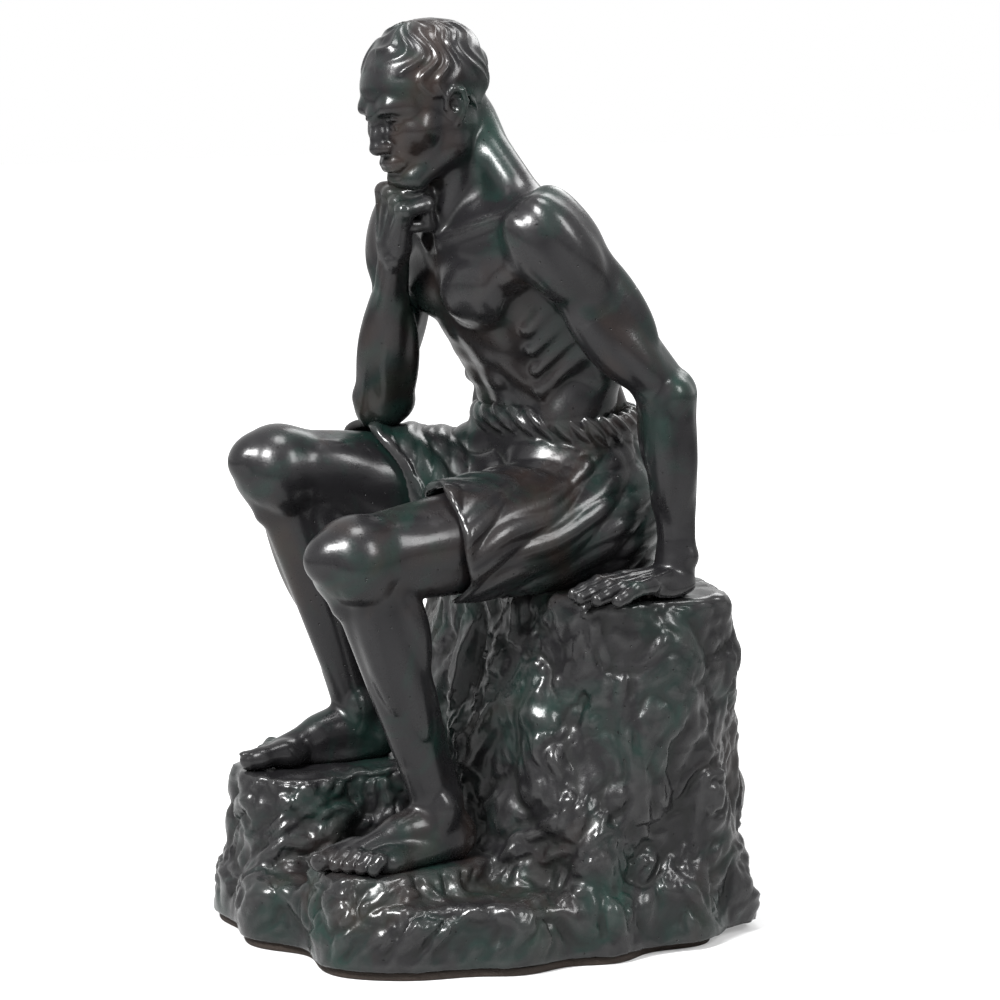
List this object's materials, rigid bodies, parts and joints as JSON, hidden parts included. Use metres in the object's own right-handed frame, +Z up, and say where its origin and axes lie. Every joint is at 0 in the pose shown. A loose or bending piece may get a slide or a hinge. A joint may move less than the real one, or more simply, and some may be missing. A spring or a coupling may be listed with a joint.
{
  "type": "seated thinker statue",
  "caption": "Desk statue of a seated figure in thought on a rock, dark patinated bronze castings dowelled and bolted to a hollow rock with a felt pad.",
  "frame": {"origin": "centre of the felt pad's underside, on the table under the middle of the plinth", "axes": "+Z up, -Y towards where the figure faces, +X to the figure's left"},
  "size_m": [0.1247, 0.1495, 0.259],
  "materials": {
    "bronze": "near-black waxed bronze patina, green and brown in the hollows, semi-gloss",
    "dowel_bronze": "bare bronze rod, drawn",
    "zinc_steel": "zinc plated",
    "plate_aluminium": "mill finish sheet",
    "felt": "dark brown pressed felt"
  },
  "bodies": {
    "root": {"head": "bronze", "torso": "bronze", "left_arm": "bronze", "right_arm": "bronze", "hips_and_cloth": "bronze", "left_leg": "bronze", "right_leg": "bronze", "rock_base": "bronze", "neck_dowel": "dowel_bronze", "waist_dowels": "dowel_bronze", "left_arm_dowel": "dowel_bronze", "right_arm_dowel": "dowel_bronze", "left_thigh_dowel": "dowel_bronze", "right_thigh_dowel": "dowel_bronze", "hand_dowel": "dowel_bronze", "elbow_dowel": "dowel_bronze", "chin_dowel": "dowel_bronze", "cross_pins": "dowel_bronze", "seat_studs": "zinc_steel", "seat_washers": "zinc_steel", "seat_nuts": "zinc_steel", "foot_studs": "zinc_steel", "foot_washers": "zinc_steel", "foot_nuts": "zinc_steel", "base_screws": "zinc_steel", "base_plate": "plate_aluminium", "felt_pad": "felt"}
  },
  "joints": []
}
